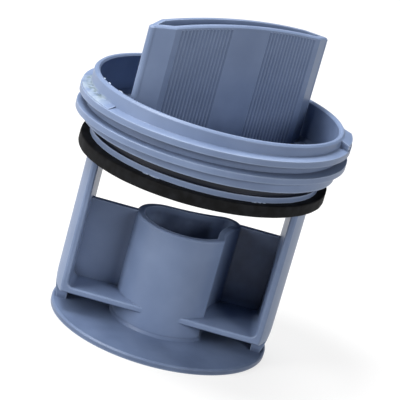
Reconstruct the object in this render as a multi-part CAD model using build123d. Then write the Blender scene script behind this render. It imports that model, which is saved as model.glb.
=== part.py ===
from build123d import *
import math
import os

# Lint filter of a washing machine's drain pump: one moulding and its rubber ring.
# The moulding is kept as three solids that meet face to face: body, screw cap and grip.
# Millimetres. Z is the axis, the origin is the middle of the base disc's underside,
# and the two legs stand along X.

# Base disc that the filter stands on
base_radius = 27.3
base_thickness = 1.4
base_edge_bevel = 0.35

# U-shaped frame: two legs joined by a shelf
frame_depth = 22.6
leg_radius = 27.4
leg_thickness = 3.9
leg_foot_inset = 1.2
leg_foot_height = 7.0
leg_foot_depth = 8.0
leg_edge_bevel = 0.3
shelf_height = 5.9
shelf_thickness = 1.55
shelf_corner_round = 1.5

# Suction tube: a round front, a corner and notch on the right, a lobe at the back right
tube_rim_height = 27.8
tube_radius = 12.2
tube_wall = 1.8
tube_foot_bevel = 0.6
tube_rim_bevel = 0.35
back_radius = 7.5
back_turn = 168.0
lobe_radius = 3.9
lobe_x = 9.6
lobe_y = 8.0
saddle_radius = 35.0
corner_radius = 1.5
corner_turn = -34.0
notch_radius = 20.0

# Webs between the tube and the legs
web_thickness = 1.6
left_web_front = -1.6
right_web_front = 7.5

# Cap: floor, seal seat, neck and threaded collar
cap_height = 41.2
cap_floor = 1.8
cap_wall = 1.5
seal_stop_radius = 27.9
seal_stop_height = 0.8
spigot_radius = 27.0
seat_flange_radius = 28.4
seat_flange_height = 1.4
neck_radius = 27.4
neck_height = 2.4
collar_height = 11.5
collar_root_radius = 31.3
rim_radius = 30.9
rim_bevel = 0.45
cup_step_bevel = 1.0

# Thread on the collar, right-handed, one start
thread_radius = 33.2
thread_pitch = 4.1
thread_turns = 2.0
thread_crest = 1.5
thread_flank_angle = 14.0
thread_start_turn = 100.0
thread_start_height = 1.15
thread_sink = 0.6

# Stop lugs on the thread's upper side, placed in degrees along the thread from X
lug_radius = 33.0
lug_slope = 1.0
left_lug_start = 525.0
left_lug_arc = 58.5
left_lug_height = 2.3
right_lug_start = 707.0
right_lug_arc = 21.0
right_lug_height = 3.1

# Grip: a flat hollow bar across the cup, pointed at its ends and crowned along the top
grip_turn = 43.0
grip_shift = 1.0
grip_length = 56.0
grip_height = 37.8
grip_crown = 2.2
grip_thickness = 6.4
grip_shoulder = 45.6
grip_end_radius = 1.0
grip_wall = 1.4
grip_floor = 2.0
grip_edge_bevel = 0.35

# Finger grooves in four groups on the grip's two faces
groove_count = 15
groove_pitch = 1.04
groove_width = 0.84
groove_depth = 0.38
groove_first = 6.2
groove_stop = 0.8

# Rubber sealing ring
seal_radius = 30.5
seal_height = 3.0
seal_clearance = 0.1
seal_edge_bevel = 0.3

# Levels that follow from the sizes above
shelf_top = shelf_height + shelf_thickness
floor_top = cap_height + cap_floor
seal_bottom = cap_height + seal_stop_height
seal_top = seal_bottom + seal_height
flange_top = seal_top + seat_flange_height
collar_bottom = flange_top + neck_height
rim_top = collar_bottom + collar_height
cup_radius = rim_radius - cap_wall
leg_inner = leg_radius - leg_thickness
grip_top = cap_height + grip_height


def revolved(outline):
    return revolve(Plane.XZ * make_face(outline), Axis.Z)


def slab(size_x, size_y, bottom, top, x=0, y=0):
    return Pos(x, y, bottom) * extrude(Rectangle(size_x, size_y), top - bottom)


# Arcs of the tube's outline
def polar(radius, turn):
    return Vector(radius * math.cos(math.radians(turn)), radius * math.sin(math.radians(turn)))


def direction(centre, point):
    away = point - centre
    return math.degrees(math.atan2(away.Y, away.X))


def touching_centre(first, first_radius, second, second_radius, radius):
    # Centre of a circle that touches two others from outside, on the left of first to second
    line = second - first
    reach = first_radius + radius
    other_reach = second_radius + radius
    along = (line.length ** 2 + reach ** 2 - other_reach ** 2) / (2 * line.length)
    across = math.sqrt(reach ** 2 - along ** 2)
    ahead = line.normalized()
    return first + ahead * along + Vector(-ahead.Y, ahead.X) * across


def arc_about(centre, start, end, turning):
    first = direction(centre, start)
    sweep = (turning * (direction(centre, end) - first)) % 360
    return CenterArc(centre, (start - centre).length, first, turning * sweep)


def tube_outline():
    axis = Vector(0, 0)
    back = polar(tube_radius - back_radius, back_turn)
    corner = polar(tube_radius - corner_radius, corner_turn)
    lobe = Vector(lobe_x, lobe_y)
    saddle = touching_centre(back, back_radius, lobe, lobe_radius, saddle_radius)
    notch = touching_centre(lobe, lobe_radius, corner, corner_radius, notch_radius)
    front_left = polar(tube_radius, back_turn)
    front_right = polar(tube_radius, corner_turn)
    notch_front = corner + (notch - corner).normalized() * corner_radius
    notch_back = lobe + (notch - lobe).normalized() * lobe_radius
    lobe_end = lobe + (saddle - lobe).normalized() * lobe_radius
    saddle_end = back + (saddle - back).normalized() * back_radius
    edges = [
        arc_about(axis, front_left, front_right, 1),
        arc_about(corner, front_right, notch_front, 1),
        arc_about(notch, notch_front, notch_back, -1),
        arc_about(lobe, notch_back, lobe_end, 1),
        arc_about(saddle, lobe_end, saddle_end, -1),
        arc_about(back, saddle_end, front_left, 1),
    ]
    return make_face(Curve() + edges)


def base_and_tube():
    # Disc and tube as one, with a bevel at the tube's foot
    disc = extrude(Circle(base_radius), base_thickness)
    disc = chamfer(disc.edges().group_by(Axis.Z)[-1], base_edge_bevel)
    tube = Pos(0, 0, base_thickness) * extrude(tube_outline(), tube_rim_height - base_thickness)
    tube = chamfer(tube.edges().group_by(Axis.Z)[-1], tube_rim_bevel)
    joined = disc + tube
    level = joined.edges().filter_by_position(Axis.Z, base_thickness, base_thickness)
    foot = level.sort_by(SortBy.LENGTH)[:-1]
    return chamfer(foot, tube_foot_bevel)


def frame():
    # Turned outer form, cut to a slab, with the window over the shelf and the slot under it;
    # the legs' feet under the shelf are narrower than the legs
    foot_top = base_thickness + leg_foot_height
    foot_radius = leg_radius - leg_foot_inset
    bow = TangentArc((leg_radius, foot_top), (foot_radius, base_thickness), tangent=(0, -1))
    sides = Polyline(
        (foot_radius, base_thickness),
        (0, base_thickness),
        (0, cap_height),
        (leg_radius, cap_height),
        (leg_radius, foot_top),
    )
    body = revolved(bow + sides) & slab(3 * leg_radius, frame_depth, 0, rim_top)
    window = slab(2 * leg_inner, 2 * frame_depth, shelf_top, cap_height)
    corners = window.edges().filter_by(Axis.Y).group_by(Axis.Z)[0]
    window = fillet(corners, shelf_corner_round)
    slot = slab(2 * leg_inner, 2 * frame_depth, 0, shelf_height)
    body = body - window - slot
    recess = (frame_depth - leg_foot_depth) / 2
    for side in (-1, 1):
        body -= slab(3 * leg_radius, recess, 0, shelf_height, 0, side * (leg_foot_depth + recess) / 2)
    level = body.edges().filter_by_position(Axis.Y, -frame_depth / 2, -frame_depth / 2)
    level += body.edges().filter_by_position(Axis.Y, frame_depth / 2, frame_depth / 2)
    top = level.filter_by_position(Axis.Z, cap_height, cap_height)
    return chamfer(level - top, leg_edge_bevel)


def webs():
    # Upright plates rooted in the tube's wall, the shelf and the legs
    reach = leg_inner + leg_thickness / 2
    foot = shelf_top - shelf_thickness / 2
    left_root = tube_radius - tube_wall / 2
    plates = []
    for side, front, root in ((-1, left_web_front, left_root), (1, right_web_front, lobe_x)):
        middle_x = side * (reach + root) / 2
        middle_y = front + web_thickness / 2
        plates.append(slab(reach - root, web_thickness, foot, tube_rim_height, middle_x, middle_y))
    return plates


def cup_line():
    # Inside of the cup, from the rim down over a step to the middle of the floor
    step_top = collar_bottom + cap_wall
    cup_floor_radius = spigot_radius - cap_wall
    return [
        (cup_radius, rim_top - rim_bevel),
        (cup_radius, step_top + cup_step_bevel),
        (cup_radius - cup_step_bevel, step_top),
        (cup_floor_radius, step_top),
        (cup_floor_radius, floor_top),
        (0, floor_top),
    ]


def collar():
    # Turned section of the cap, from the middle of its underside out, up the outside and down the cup
    section = Polyline(
        (0, cap_height),
        (seal_stop_radius, cap_height),
        (seal_stop_radius, seal_bottom),
        (spigot_radius, seal_bottom),
        (spigot_radius, seal_top),
        (seat_flange_radius, seal_top),
        (seat_flange_radius, flange_top),
        (neck_radius, flange_top),
        (neck_radius, collar_bottom),
        (collar_root_radius, collar_bottom),
        (rim_radius, rim_top - rim_bevel),
        (rim_radius - rim_bevel, rim_top),
        (cup_radius + rim_bevel, rim_top),
        *cup_line(),
        close=True,
    )
    return revolved(section)


def room_in_cup():
    return revolved(Polyline((0, grip_top), (cup_radius, grip_top), *cup_line(), close=True))


def ridge_level(turn):
    return collar_bottom + thread_start_height + thread_pitch * (turn - thread_start_turn) / 360


def thread():
    # Trapezoid ridge carried up a helix, its root sunk into the collar
    path = Helix(thread_pitch, thread_pitch * thread_turns, thread_radius)
    root_radius = rim_radius - thread_sink
    spread = (thread_radius - root_radius) * math.tan(math.radians(thread_flank_angle))
    section = Polyline(
        (thread_radius, -thread_crest / 2),
        (thread_radius, thread_crest / 2),
        (root_radius, thread_crest / 2 + spread),
        (root_radius, -thread_crest / 2 - spread),
        close=True,
    )
    ridge = sweep(Plane.XZ * make_face(section), path, is_frenet=True)
    return Pos(0, 0, ridge_level(thread_start_turn)) * Rot(0, 0, thread_start_turn) * ridge


def lug(start, arc, height):
    # Sector that stands on the ridge, with its top sloping outwards
    bottom = ridge_level(start + arc / 2)
    root_radius = rim_radius - cap_wall / 2
    section = Polyline(
        (root_radius, bottom + height),
        (lug_radius, bottom + height - lug_slope),
        (lug_radius, bottom),
        (root_radius, bottom),
        close=True,
    )
    return Rot(0, 0, start) * revolve(Plane.XZ * make_face(section), Axis.Z, arc)


def grip_outline():
    shoulder = grip_shoulder / 2
    half = grip_length / 2
    face = grip_thickness / 2
    near_end = half - grip_end_radius
    edges = []
    for side in (-1, 1):
        face_line = Line((-side * shoulder, side * face), (side * shoulder, side * face))
        end_line = ThreePointArc(
            (side * near_end, side * grip_end_radius),
            (side * half, 0),
            (side * near_end, -side * grip_end_radius),
        )
        edges.append(face_line)
        edges.append(Line(face_line @ 1, end_line @ 0))
        edges.append(end_line)
        edges.append(Line(end_line @ 1, (side * shoulder, -side * face)))
    return make_face(Curve() + edges)


def under_crown(drop):
    half = grip_length / 2
    top = grip_top - drop
    crown = ThreePointArc((-half, top - grip_crown), (0, top), (half, top - grip_crown))
    sides = Polyline(crown @ 1, (half, floor_top), (-half, floor_top), crown @ 0)
    return extrude(Plane.XZ * make_face(crown + sides), grip_thickness, both=True)


def grooves():
    # Diamond rods along both faces, stopping short of the crown
    face = grip_thickness / 2
    diamond = Polygon(
        (groove_width / 2, 0), (0, groove_depth), (-groove_width / 2, 0), (0, -groove_depth), align=None
    )
    rods = Sketch()
    for number in range(groove_count):
        along = groove_first + number * groove_pitch
        rods += [Pos(x, y) * diamond for x in (-along, along) for y in (-face, face)]
    return extrude(Pos(0, 0, floor_top) * rods, grip_height) & under_crown(groove_stop)


def grip():
    # Bar on the cup's floor, its ends let into the cup's step
    outline = grip_outline()
    bar = Pos(0, 0, floor_top) * extrude(outline, grip_height) & under_crown(0)
    bar = chamfer(bar.faces().sort_by(Axis.Z)[-1].edges(), grip_edge_bevel)
    hollow = offset(outline, -grip_wall)
    bar -= Pos(0, 0, floor_top + grip_floor) * extrude(hollow, grip_height)
    return Rot(0, 0, grip_turn) * Pos(grip_shift, 0) * (bar - grooves()) & room_in_cup()


def filter_body():
    bore = extrude(offset(tube_outline(), -tube_wall), tube_rim_height)
    return base_and_tube() + frame() + webs() - bore


def screw_cap():
    cap = collar() + thread()
    cap += lug(left_lug_start, left_lug_arc, left_lug_height)
    cap += lug(right_lug_start, right_lug_arc, right_lug_height)
    return cap


def sealing_ring():
    # Flat ring with broken outer edges, slipped over the spigot
    ring = extrude(Circle(seal_radius), seal_height)
    ring = chamfer(ring.edges().filter_by(GeomType.CIRCLE), seal_edge_bevel)
    hole = extrude(Circle(spigot_radius + seal_clearance), seal_height)
    return Pos(0, 0, seal_bottom) * (ring - hole)


os.makedirs("parts", exist_ok=True)
export_step(filter_body(), "parts/filter_body.step")
export_step(screw_cap(), "parts/screw_cap.step")
export_step(grip(), "parts/grip.step")
export_step(sealing_ring(), "parts/sealing_ring.step")
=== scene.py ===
import math
import bmesh
import bpy
import numpy as np
from mathutils import Matrix, Vector


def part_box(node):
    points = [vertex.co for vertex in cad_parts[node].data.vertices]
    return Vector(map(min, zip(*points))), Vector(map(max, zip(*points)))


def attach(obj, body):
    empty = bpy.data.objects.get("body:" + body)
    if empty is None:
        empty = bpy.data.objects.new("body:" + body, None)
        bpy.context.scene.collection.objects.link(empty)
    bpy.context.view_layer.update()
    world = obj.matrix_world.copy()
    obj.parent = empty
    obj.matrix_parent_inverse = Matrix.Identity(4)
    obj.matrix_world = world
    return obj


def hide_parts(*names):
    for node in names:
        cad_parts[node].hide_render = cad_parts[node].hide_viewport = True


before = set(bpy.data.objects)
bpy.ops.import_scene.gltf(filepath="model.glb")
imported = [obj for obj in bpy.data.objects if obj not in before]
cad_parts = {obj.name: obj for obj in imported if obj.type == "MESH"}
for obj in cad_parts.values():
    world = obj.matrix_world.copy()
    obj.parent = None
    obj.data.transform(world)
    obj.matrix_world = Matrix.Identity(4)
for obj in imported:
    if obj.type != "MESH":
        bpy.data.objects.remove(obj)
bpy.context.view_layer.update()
scene = bpy.context.scene
mm = 0.001
rootBody = "root"
white = (1.0, 1.0, 1.0, 1.0)
print("frame loaded:", sorted(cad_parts))


# sRGB hex to the linear values that Blender's sockets take
def hexColour(code):
    channels = np.array([int(code[i:i + 2], 16) for i in (1, 3, 5)]) / 255
    linear = np.where(channels <= 0.04045, channels / 12.92, ((channels + 0.055) / 1.055) ** 2.4)
    return (*linear.tolist(), 1.0)


# One node with its settings, its constant inputs and its links, each input given by name or number.
# A colour ramp also gets its stops, as place and linear colour.
def addNode(tree, kind, settings=None, values=None, links=None, stops=()):
    node = tree.nodes.new(kind)
    for key, value in (settings or {}).items():
        setattr(node, key, value)
    for i, (place, colour) in enumerate(stops):
        elements = node.color_ramp.elements
        element = elements[i] if i < len(elements) else elements.new(place)
        element.position = place
        element.color = colour
    for key, value in (values or {}).items():
        node.inputs[key].default_value = value
    for key, source in (links or {}).items():
        tree.links.new(source, node.inputs[key])
    return node


def newMaterial(name):
    material = bpy.data.materials.new(name)
    material.use_nodes = True
    material.node_tree.nodes.clear()
    return material, material.node_tree


# Camera, fitted to the outlines of the object in the photograph, which was taken with the filter leaning
cameraSettings = {
    "distance": 426.798,        # level distance from the axis, mm
    "height": 171.241,          # above the floor, mm
    "downTilt": 0.3110,         # radians below the horizon
    "pan": -0.0042,             # radians to the left
    "roll": 0.2729,             # radians, the picture leans to the right
    "focalPixels": 1846.754,
    "picturePixels": 400,
    "sensor": 36.0,             # mm
    "nearest": 0.05,            # m
    "farthest": 20.0,           # m
}


def makeCamera(s):
    data = bpy.data.cameras.new("photoCamera")
    data.sensor_width = s["sensor"]
    data.lens = s["sensor"] * s["focalPixels"] / s["picturePixels"]
    data.clip_start = s["nearest"]
    data.clip_end = s["farthest"]
    right = Vector((math.cos(s["pan"]), math.sin(s["pan"]), 0))
    level = Vector((-right.y, right.x, 0))
    up = Vector((0, 0, 1))
    forward = level * math.cos(s["downTilt"]) - up * math.sin(s["downTilt"])
    upward = level * math.sin(s["downTilt"]) + up * math.cos(s["downTilt"])
    axisX = right * math.cos(s["roll"]) + upward * math.sin(s["roll"])
    axisY = upward * math.cos(s["roll"]) - right * math.sin(s["roll"])
    place = Matrix((axisX, axisY, -forward)).transposed().to_4x4()
    place.translation = Vector((0, -s["distance"], s["height"])) * mm
    camera = bpy.data.objects.new("photoCamera", data)
    camera.matrix_world = place
    scene.collection.objects.link(camera)
    scene.camera = camera


makeCamera(cameraSettings)
print("camera set")


# White sweep that the filter stands on: it shows white to the camera and keeps the shadow round the foot
stageSettings = {
    "halfWidth": 3.0,           # m
    "paper": "#828282",
    "glow": 0.73,               # white that the camera and reflections see, on top of the lamps' light
}


def makeStage(s):
    material, tree = newMaterial("whitePaperSweep")
    path = addNode(tree, "ShaderNodeLightPath")
    seen = addNode(tree, "ShaderNodeMath", {"operation": "MAXIMUM"},
                   links={0: path.outputs["Is Camera Ray"], 1: path.outputs["Is Glossy Ray"]})
    shown = addNode(tree, "ShaderNodeMath", {"operation": "MAXIMUM"},
                    links={0: seen.outputs[0], 1: path.outputs["Is Transmission Ray"]})
    level = addNode(tree, "ShaderNodeMath", {"operation": "MULTIPLY"}, {1: s["glow"]},
                    links={0: shown.outputs[0]})
    paper = addNode(tree, "ShaderNodeBsdfDiffuse", values={"Color": hexColour(s["paper"])})
    glow = addNode(tree, "ShaderNodeEmission", values={"Color": white},
                   links={"Strength": level.outputs[0]})
    both = addNode(tree, "ShaderNodeAddShader", links={0: paper.outputs[0], 1: glow.outputs[0]})
    addNode(tree, "ShaderNodeOutputMaterial", links={"Surface": both.outputs[0]})
    w = s["halfWidth"]
    mesh = bpy.data.meshes.new("floor")
    mesh.from_pydata([(-w, -w, 0), (w, -w, 0), (w, w, 0), (-w, w, 0)], [], [(0, 1, 2, 3)])
    mesh.materials.append(material)
    floor = bpy.data.objects.new("floor", mesh)
    scene.collection.objects.link(floor)


makeStage(stageSettings)
print("floor set")


# Soft studio light: the key and a low box at the left front, one high at the left, one behind, a weaker
# low one at the right, and a dim room. Azimuth is in degrees from the front, distance and size are in m.
lightSettings = {
    "room": "#ffffff",
    "roomStrength": 0.01,
    "boxes": {
        "keySoftbox": {"azimuth": -60, "elevation": 42, "distance": 0.9, "size": 0.50, "watts": 5.2},
        "lowSoftbox": {"azimuth": -57, "elevation": 13, "distance": 0.9, "size": 0.30, "watts": 3.9},
        "highSoftbox": {"azimuth": -95, "elevation": 66, "distance": 0.9, "size": 0.30, "watts": 7.8},
        "backSoftbox": {"azimuth": 180, "elevation": 65, "distance": 0.9, "size": 0.35, "watts": 5.2},
        "fillSoftbox": {"azimuth": 46, "elevation": 20, "distance": 0.9, "size": 0.35, "watts": 4.5},
    },
    "aim": 45.0,                # height that the boxes face, mm
}


def makeLights(s):
    world = bpy.data.worlds.new("studioRoom")
    world.use_nodes = True
    tree = world.node_tree
    tree.nodes.clear()
    path = addNode(tree, "ShaderNodeLightPath")
    seen = addNode(tree, "ShaderNodeMath", {"operation": "MAXIMUM"},
                   links={0: path.outputs["Is Camera Ray"], 1: path.outputs["Is Transmission Ray"]})
    room = addNode(tree, "ShaderNodeBackground",
                   values={"Color": hexColour(s["room"]), "Strength": s["roomStrength"]})
    backdrop = addNode(tree, "ShaderNodeBackground", values={"Color": white, "Strength": 1.0})
    pick = addNode(tree, "ShaderNodeMixShader",
                   links={0: seen.outputs[0], 1: room.outputs[0], 2: backdrop.outputs[0]})
    addNode(tree, "ShaderNodeOutputWorld", links={"Surface": pick.outputs[0]})
    scene.world = world
    aim = Vector((0, 0, s["aim"])) * mm
    for name, b in s["boxes"].items():
        lamp = bpy.data.lights.new(name, "AREA")
        lamp.shape = "SQUARE"
        lamp.size = b["size"]
        lamp.energy = b["watts"]
        turn, rise = math.radians(b["azimuth"]), math.radians(b["elevation"])
        level = Vector((math.sin(turn), -math.cos(turn), 0))
        back = level * math.cos(rise) + Vector((0, 0, math.sin(rise)))
        holder = bpy.data.objects.new(name, lamp)
        holder.location = aim + back * b["distance"]
        holder.rotation_euler = back.to_track_quat("Z", "Y").to_euler()
        scene.collection.objects.link(holder)


makeLights(lightSettings)
scene.view_settings.view_transform = "Standard"
print("lights set")


# Polypropylene, injection moulded in a spark-eroded tool: an even satin blue grey with a very fine grain
# and slow flow clouds in the colour. Its edges are painted paler, partly as wear and partly as painted
# highlight, and its recesses are painted dark as painted shade.
plasticSettings = {
    "colour": "#6f7f9d",
    "flowDark": "#697997",
    "flowLight": "#7686a4",
    "flowStops": (0.30, 0.50, 0.70),    # noise at which the dark, plain and light colours lie
    "flowSize": 11.0,           # mm
    "flowDetail": 3.0,
    "grainSize": 0.45,          # mm, drawn about four times too coarse so that it shows
    "grainHeight": 0.012,       # mm
    "grainStrength": 0.35,
    "grainDetail": 2.0,
    "roughnessLow": 0.36,
    "roughnessHigh": 0.48,
    "ior": 1.49,
    "specular": 0.35,           # a little under the usual mirror share, because the grain breaks it up
    "edgeSamples": 6,
    # Painted shade in recesses: a dark colour laid where walls within reach shut out open room
    "recessShade": "#1c2233",
    "recessShadeReach": 4.5,          # mm, walls this near make a recess
    "recessShadeOpen": 0.57,          # share of open room in front, from which a surface gets no painted shade
    "recessShadeShut": 0.20,          # share of open room at which the painted shade is full
    "recessShadeMost": 0.75,
    # Paler edges, partly wear and partly painted highlight:
    "wearAndHighlight": "#a4b3cd",
    "wearAndHighlightReach": 0.45,        # mm from an edge
    "wearAndHighlightFlat": 0.95,         # share of solid behind, from which a surface isn't paled
    "wearAndHighlightSharp": 0.45,        # share of solid at which the paling is full
    "wearAndHighlightMost": 0.62,
    "reachSamples": 8,
    "markDetail": 4.0,
    "markTurnSoft": 5.0,        # degrees over which a mark fades at its ends
    "inwardLeast": 0.12,        # cosine towards the axis, from which a wall takes an inward mark
    "inwardFull": 0.25,         # cosine at which that mark is full
}

# The moulding's three nodes, each with the radius in mm that softens its edges and its marks: the lug's rub
# and dirt are left by use, and the other marks are painted shade. A mark lies between two turns in degrees
# from X, two radii and two heights in mm, which fade over soft, and a noise of its size breaks it up. A
# bound beyond the piece leaves that side open, and an inward mark lies only on walls that face the axis.
allRound = (-190, 190)          # degrees, a whole turn and its soft ends
mouldingPieces = {
    "filter_body": {"material": "polypropyleneMouldedSatin", "edgeRadius": 0.20, "marks": {
        # Painted shade in the right pocket, beside the tube
        "pocketShade": {"code": "#161a2c", "turns": (2, 36), "radii": (12.5, 28.0), "heights": (8.5, 29.0),
                       "soft": 1.0, "size": 7.0, "thin": 0.0, "full": 0.70, "most": 0.62, "inward": True},
        # Painted shade on the base disc's top
        "discShade": {"code": "#33415c", "turns": allRound, "radii": (-2.0, 40.0), "heights": (-2.0, 2.2),
                     "soft": 0.4, "size": 9.0, "thin": 0.0, "full": 0.80, "most": 0.62, "inward": False},
        # Painted shade inside the tube
        "tubeShade": {"code": "#1d2640", "turns": allRound, "radii": (-2.0, 11.0), "heights": (3.0, 26.6),
                     "soft": 0.8, "size": 6.0, "thin": 0.0, "full": 0.70, "most": 0.70, "inward": True},
    }},
    # The lug's top is rubbed pale, with greenish dirt behind it, where the thread was forced in its housing
    "screw_cap": {"material": "polypropyleneMouldedRubbed", "edgeRadius": 0.25, "marks": {
        "lugRub": {"code": "#a9b6ba", "turns": (-184, -143), "radii": (30.2, 34.0), "heights": (56.1, 57.6),
                   "soft": 0.30, "size": 2.4, "thin": 0.30, "full": 0.62, "most": 0.5, "inward": False},
        "lugDirt": {"code": "#53625f", "turns": (-184, -146), "radii": (30.4, 32.2),
                    "heights": (56.7, 57.25), "soft": 0.16, "size": 0.8, "thin": 0.47, "full": 0.60,
                    "most": 0.7, "inward": False},
        # Painted shade in the neck, under the collar's overhang
        "neckShade": {"code": "#060912", "turns": allRound, "radii": (26.6, 28.2), "heights": (46.2, 49.0),
                      "soft": 0.08, "size": 3.0, "thin": 0.0, "full": 0.30, "most": 0.95, "inward": False},
        # Painted shade on the cup's inner wall, beside the grip
        "cupShade": {"code": "#33415c", "turns": (-75, 60), "radii": (20.0, 33.0), "heights": (43.0, 60.0),
                    "soft": 0.6, "size": 7.0, "thin": 0.0, "full": 0.70, "most": 0.50, "inward": True},
    }},
    # Painted shade, darker towards the bottom of the grip, where it stands in the cup
    "grip": {"material": "polypropyleneMouldedRibbed", "edgeRadius": 0.10, "marks": {
        "gripShade": {"code": "#33415c", "turns": allRound, "radii": (-40.0, 60.0), "heights": (20.0, 57.0),
                     "soft": 11.0, "size": 9.0, "thin": 0.0, "full": 0.70, "most": 0.95, "inward": False},
    }},
}


# Share from 0 to 1 of a value inside a window with soft ends: one ramp up times one ramp down
def windowNodes(tree, value, low, high, soft):
    rise = addNode(tree, "ShaderNodeMapRange", {"interpolation_type": "SMOOTHSTEP"},
                   {"From Min": low - soft, "From Max": low + soft}, {"Value": value})
    fall = addNode(tree, "ShaderNodeMapRange", {"interpolation_type": "SMOOTHSTEP"},
                   {"From Min": high - soft, "From Max": high + soft, "To Min": 1.0, "To Max": 0.0},
                   {"Value": value})
    return addNode(tree, "ShaderNodeMath", {"operation": "MULTIPLY"},
                   links={0: rise.outputs[0], 1: fall.outputs[0]}).outputs[0]


# Colour laid over a base colour inside a mark's turns, radii and heights, broken up by a noise
def markNodes(tree, spot, base, s, mark):
    split = addNode(tree, "ShaderNodeSeparateXYZ", links={0: spot["Object"]}).outputs
    turn = addNode(tree, "ShaderNodeMath", {"operation": "ARCTAN2"}, links={0: split[1], 1: split[0]})
    degrees = addNode(tree, "ShaderNodeMath", {"operation": "DEGREES"}, links={0: turn.outputs[0]})
    level = addNode(tree, "ShaderNodeCombineXYZ", links={0: split[0], 1: split[1]})
    radius = addNode(tree, "ShaderNodeVectorMath", {"operation": "LENGTH"}, links={0: level.outputs[0]})
    shares = [windowNodes(tree, degrees.outputs[0], *mark["turns"], s["markTurnSoft"])]
    for value, (low, high) in ((radius.outputs["Value"], mark["radii"]), (split[2], mark["heights"])):
        shares.append(windowNodes(tree, value, low * mm, high * mm, mark["soft"] * mm))
    if mark["inward"]:
        outward = addNode(tree, "ShaderNodeVectorMath", {"operation": "NORMALIZE"},
                          links={0: level.outputs[0]})
        away = addNode(tree, "ShaderNodeVectorMath", {"operation": "DOT_PRODUCT"},
                       links={0: outward.outputs[0], 1: spot["Normal"]})
        facing = addNode(tree, "ShaderNodeMapRange",
                         values={"From Min": -s["inwardFull"], "From Max": -s["inwardLeast"],
                                 "To Min": 1.0, "To Max": 0.0},
                         links={"Value": away.outputs["Value"]})
        shares.append(facing.outputs[0])
    noise = addNode(tree, "ShaderNodeTexNoise",
                    values={"Scale": 1 / (mark["size"] * mm), "Detail": s["markDetail"]},
                    links={"Vector": spot["Object"]})
    amount = addNode(tree, "ShaderNodeMapRange",
                     values={"From Min": mark["thin"], "From Max": mark["full"], "To Max": mark["most"]},
                     links={"Value": noise.outputs["Fac"]})
    for share in shares:
        amount = addNode(tree, "ShaderNodeMath", {"operation": "MULTIPLY"},
                         links={0: amount.outputs[0], 1: share})
    mix = addNode(tree, "ShaderNodeMix", {"data_type": "RGBA"}, {7: hexColour(mark["code"])},
                  {0: amount.outputs[0], 6: base})
    return mix.outputs[2]


def makePlastic(s, piece):
    material, tree = newMaterial(piece["material"])
    spot = addNode(tree, "ShaderNodeTexCoord").outputs
    flow = addNode(tree, "ShaderNodeTexNoise",
                   values={"Scale": 1 / (s["flowSize"] * mm), "Detail": s["flowDetail"]},
                   links={"Vector": spot["Object"]})
    clouds = [hexColour(s[key]) for key in ("flowDark", "colour", "flowLight")]
    colour = addNode(tree, "ShaderNodeValToRGB", links={0: flow.outputs["Fac"]},
                     stops=list(zip(s["flowStops"], clouds))).outputs[0]
    for mark in piece["marks"].values():
        colour = markNodes(tree, spot, colour, s, mark)
    # Painted highlight, partly edge wear: the colour goes paler near sharp edges, by the share of solid
    # behind the surface
    behind = addNode(tree, "ShaderNodeAmbientOcclusion",
                     {"samples": s["reachSamples"], "only_local": True, "inside": True},
                     {"Distance": s["wearAndHighlightReach"] * mm})
    wornAndHighlit = addNode(tree, "ShaderNodeMapRange",
                   values={"From Min": s["wearAndHighlightSharp"], "From Max": s["wearAndHighlightFlat"],
                           "To Min": s["wearAndHighlightMost"], "To Max": 0.0},
                   links={"Value": behind.outputs["AO"]})
    paler = addNode(tree, "ShaderNodeMix", {"data_type": "RGBA"}, {7: hexColour(s["wearAndHighlight"])},
                    {0: wornAndHighlit.outputs[0], 6: colour})
    # Painted shade: the colour goes darker where nearby walls close in a recess, by the share of open room
    # within reach
    infront = addNode(tree, "ShaderNodeAmbientOcclusion",
                      {"samples": s["reachSamples"], "only_local": True},
                      {"Distance": s["recessShadeReach"] * mm})
    shadeShare = addNode(tree, "ShaderNodeMapRange",
                    values={"From Min": s["recessShadeShut"], "From Max": s["recessShadeOpen"],
                            "To Min": s["recessShadeMost"], "To Max": 0.0},
                    links={"Value": infront.outputs["AO"]})
    darker = addNode(tree, "ShaderNodeMix", {"data_type": "RGBA"}, {7: hexColour(s["recessShade"])},
                     {0: shadeShare.outputs[0], 6: paler.outputs[2]})
    grain = addNode(tree, "ShaderNodeTexNoise",
                    values={"Scale": 1 / (s["grainSize"] * mm), "Detail": s["grainDetail"]},
                    links={"Vector": spot["Object"]})
    sheen = addNode(tree, "ShaderNodeMapRange",
                    values={"To Min": s["roughnessLow"], "To Max": s["roughnessHigh"]},
                    links={"Value": flow.outputs["Fac"]})
    edge = addNode(tree, "ShaderNodeBevel", {"samples": s["edgeSamples"]},
                   {"Radius": piece["edgeRadius"] * mm})
    bump = addNode(tree, "ShaderNodeBump",
                   values={"Strength": s["grainStrength"], "Distance": s["grainHeight"] * mm},
                   links={"Height": grain.outputs["Fac"], "Normal": edge.outputs[0]})
    shader = addNode(tree, "ShaderNodeBsdfPrincipled",
                     values={"IOR": s["ior"], "Specular IOR Level": s["specular"]},
                     links={"Base Color": darker.outputs[2], "Roughness": sheen.outputs[0],
                            "Normal": bump.outputs[0]})
    addNode(tree, "ShaderNodeOutputMaterial", links={"Surface": shader.outputs[0]})
    return material


# Nitrile rubber, compression moulded: black, matte, with a fine grain and a faint grey bloom
rubberSettings = {
    "colour": "#09090a",
    "bloom": "#1b1c1f",
    "bloomStops": (0.40, 0.75),     # noise at which the plain black ends and the bloom is full
    "bloomSize": 2.2,           # mm
    "bloomDetail": 5.0,
    "grainSize": 0.4,           # mm, coarser than the real grain so that it shows
    "grainHeight": 0.02,        # mm
    "grainStrength": 0.6,
    "grainDetail": 3.0,
    "roughness": 0.72,
    "ior": 1.52,
    "specular": 0.12,           # a quarter of the usual mirror share, because the grain breaks it up
}


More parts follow.
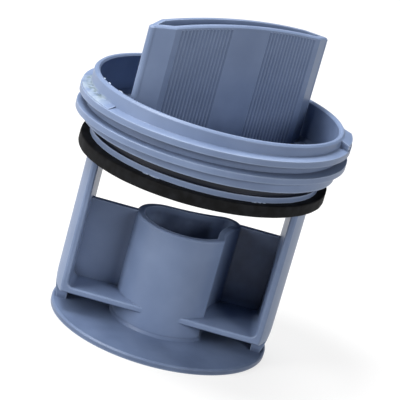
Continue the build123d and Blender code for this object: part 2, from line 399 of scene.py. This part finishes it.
def makeRubber(s):
    material, tree = newMaterial("nitrileRubberMoulded")
    place = addNode(tree, "ShaderNodeTexCoord").outputs["Object"]
    bloom = addNode(tree, "ShaderNodeTexNoise",
                    values={"Scale": 1 / (s["bloomSize"] * mm), "Detail": s["bloomDetail"]},
                    links={"Vector": place})
    shades = [hexColour(s[key]) for key in ("colour", "bloom")]
    colour = addNode(tree, "ShaderNodeValToRGB", links={0: bloom.outputs["Fac"]},
                     stops=list(zip(s["bloomStops"], shades)))
    grain = addNode(tree, "ShaderNodeTexNoise",
                    values={"Scale": 1 / (s["grainSize"] * mm), "Detail": s["grainDetail"]},
                    links={"Vector": place})
    bump = addNode(tree, "ShaderNodeBump",
                   values={"Strength": s["grainStrength"], "Distance": s["grainHeight"] * mm},
                   links={"Height": grain.outputs["Fac"]})
    shader = addNode(tree, "ShaderNodeBsdfPrincipled",
                     values={"IOR": s["ior"], "Roughness": s["roughness"],
                             "Specular IOR Level": s["specular"]},
                     links={"Base Color": colour.outputs[0], "Normal": bump.outputs[0]})
    addNode(tree, "ShaderNodeOutputMaterial", links={"Surface": shader.outputs[0]})
    return material


# Trim flash: thin torn polypropylene, paler than the wall because light passes through it
flashSettings = {
    "shade": "#8595b0",
    "colour": "#b6c3d3",
    "mottleStops": (0.35, 0.60),    # noise at which the shade ends and the pale colour is full
    "mottleSize": 0.6,          # mm
    "mottleDetail": 3.0,
    "roughness": 0.5,
    "ior": 1.49,
}


def makeFlash(s):
    material, tree = newMaterial("polypropyleneTornFlash")
    place = addNode(tree, "ShaderNodeTexCoord").outputs["Object"]
    mottle = addNode(tree, "ShaderNodeTexNoise",
                     values={"Scale": 1 / (s["mottleSize"] * mm), "Detail": s["mottleDetail"]},
                     links={"Vector": place})
    shades = [hexColour(s[key]) for key in ("shade", "colour")]
    colour = addNode(tree, "ShaderNodeValToRGB", links={0: mottle.outputs["Fac"]},
                     stops=list(zip(s["mottleStops"], shades)))
    shader = addNode(tree, "ShaderNodeBsdfPrincipled",
                     values={"IOR": s["ior"], "Roughness": s["roughness"]},
                     links={"Base Color": colour.outputs[0]})
    addNode(tree, "ShaderNodeOutputMaterial", links={"Surface": shader.outputs[0]})
    return material


for node, piece in mouldingPieces.items():
    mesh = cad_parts[node].data
    mesh.materials.clear()
    mesh.materials.append(makePlastic(plasticSettings, piece))
print("moulding dressed")

rubber = makeRubber(rubberSettings)
flash = makeFlash(flashSettings)
print("rubber and flash made")

mergeReach = 1e-7               # m, points nearer than this are one


# Mesh of a section carried along a path: points[i, j] runs i along the path and j round the section.
# A path that isn't closed has ends drawn to a point, and the points there are merged.
def sectionMesh(name, grids, closedPath, material):
    allPoints, allQuads, start = [], [], 0
    for points in grids:
        rows, columns = points.shape[:2]
        spans = rows if closedPath else rows - 1
        along, around = np.meshgrid(np.arange(spans), np.arange(columns), indexing="ij")
        nextAlong, nextAround = (along + 1) % rows, (around + 1) % columns
        corners = [(along, around), (nextAlong, around), (nextAlong, nextAround), (along, nextAround)]
        quads = np.stack([i * columns + j for i, j in corners], -1).reshape(-1, 4) + start
        allPoints.append(points.reshape(-1, 3))
        allQuads.append(quads)
        start += rows * columns
    mesh = bpy.data.meshes.new(name)
    mesh.from_pydata(np.concatenate(allPoints).tolist(), [], np.concatenate(allQuads).tolist())
    if not closedPath:
        shell = bmesh.new()
        shell.from_mesh(mesh)
        bmesh.ops.remove_doubles(shell, verts=shell.verts, dist=mergeReach)
        bmesh.ops.dissolve_degenerate(shell, edges=shell.edges, dist=mergeReach)
        shell.to_mesh(mesh)
        shell.free()
    mesh.polygons.foreach_set("use_smooth", np.ones(len(mesh.polygons), bool))
    mesh.materials.append(material)
    piece = bpy.data.objects.new(name, mesh)
    scene.collection.objects.link(piece)
    return piece


# Sealing ring, whose outer side leans, low at the left and high at the right, because the rubber is twisted
# on its seat, and whose outer edge is a little uneven
sealSettings = {
    "innerRadius": 27.1,        # mm, the seat and its play
    "seatRadius": 28.4,         # mm, inside this the ring lies flat on its stop
    "squareness": 9.0,          # power of the oval: 2 is an ellipse, more is squarer
    "lean": 0.42,               # mm, at the outer edge
    "leanTurn": 20.0,           # degrees from X, where the edge stands highest
    "uneven": 0.035,            # mm, upwards
    "unevenOutward": 0.5,       # share of that which also goes outwards
    "waves": (5, 11, 23, 41),   # ripples round the ring
    "wavePhase": 1.7,           # radians for each ripple
    "steps": (480, 56),
}


# A squarish oval carried round a circle: across and upward are the cosine and sine of t, raised to 2 over
# the squareness with their sign kept. From the seat outwards, a lean that goes as the cosine of the turn
# and a ripple that is a sum of sines are added, growing in a straight line to the outer edge.
def makeSeal(s):
    low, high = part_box("sealing_ring")
    turns, rounds = s["steps"]
    theta = np.linspace(0, 2 * np.pi, turns, endpoint=False)[:, None]
    t = np.linspace(0, 2 * np.pi, rounds, endpoint=False)[None, :]
    power = 2 / s["squareness"]
    across = np.sign(np.cos(t)) * np.abs(np.cos(t)) ** power
    upward = np.sign(np.sin(t)) * np.abs(np.sin(t)) ** power
    inner, seat, outer = s["innerRadius"] * mm, s["seatRadius"] * mm, high.x
    radius = (inner + outer) / 2 + (outer - inner) / 2 * across
    share = np.clip((radius - seat) / (outer - seat), 0, 1)
    ripple = sum(np.sin(k * theta + s["wavePhase"] * k) for k in s["waves"]) * s["uneven"] * mm
    lean = s["lean"] * mm * np.cos(theta - np.radians(s["leanTurn"]))
    radius = radius + share * ripple * s["unevenOutward"]
    height = (low.z + high.z) / 2 + (high.z - low.z) / 2 * upward
    height = height + share * (lean + ripple * np.maximum(upward, 0))
    points = np.stack([radius * np.cos(theta), radius * np.sin(theta), height], -1)
    seal = sectionMesh("sealingRing", [points], True, rubber)
    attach(seal, rootBody)
    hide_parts("sealing_ring")


makeSeal(sealSettings)
print("seal made")


# Torn flash on the seal seat and burrs on the cup's rim: sizes in mm, arcs in degrees from X
flashPieces = {
    "seatFlash": {"radius": 28.5, "height": 45.0, "width": 0.34, "thickness": 0.16, "seed": 4,
                  "arcs": ((243.5, 247.0), (247.5, 252.6), (297.4, 300.2), (300.7, 302.8), (303.4, 305.0))},
    "rimBurr": {"radius": 29.55, "height": 60.2, "width": 0.22, "thickness": 0.18, "seed": 9,
                "arcs": ((209.0, 211.2), (219.4, 222.4), (203.0, 204.0))},
}
flashSteps = (48, 12)
flashRagged = (0.35, 1.0)       # least and most of the width at a step along the arc


# A flat ellipse carried along an arc: its size is the root of a half sine along the arc, so that both ends
# come to a point, times a random share that is evened out between neighbours
def makeFlashPiece(name, s):
    draw = np.random.default_rng(s["seed"])
    share = np.linspace(0, 1, flashSteps[0])[:, None]
    t = np.linspace(0, 2 * np.pi, flashSteps[1], endpoint=False)[None, :]
    grids = []
    for start, end in s["arcs"]:
        theta = np.radians(start + (end - start) * share)
        jitter = draw.uniform(*flashRagged, share.shape)
        jitter = (jitter + np.roll(jitter, 1, 0)) / 2
        size = np.sqrt(np.sin(np.pi * share).clip(0)) * jitter
        size[[0, -1]] = 0
        radius = s["radius"] * mm + s["width"] * mm * size * np.cos(t)
        height = s["height"] * mm + s["thickness"] * mm * size * np.sin(t)
        grids.append(np.stack([radius * np.cos(theta), radius * np.sin(theta), height], -1))
    piece = sectionMesh(name, grids, False, flash)
    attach(piece, rootBody)


for name, settings in flashPieces.items():
    makeFlashPiece(name, settings)
print("flash and burrs made")
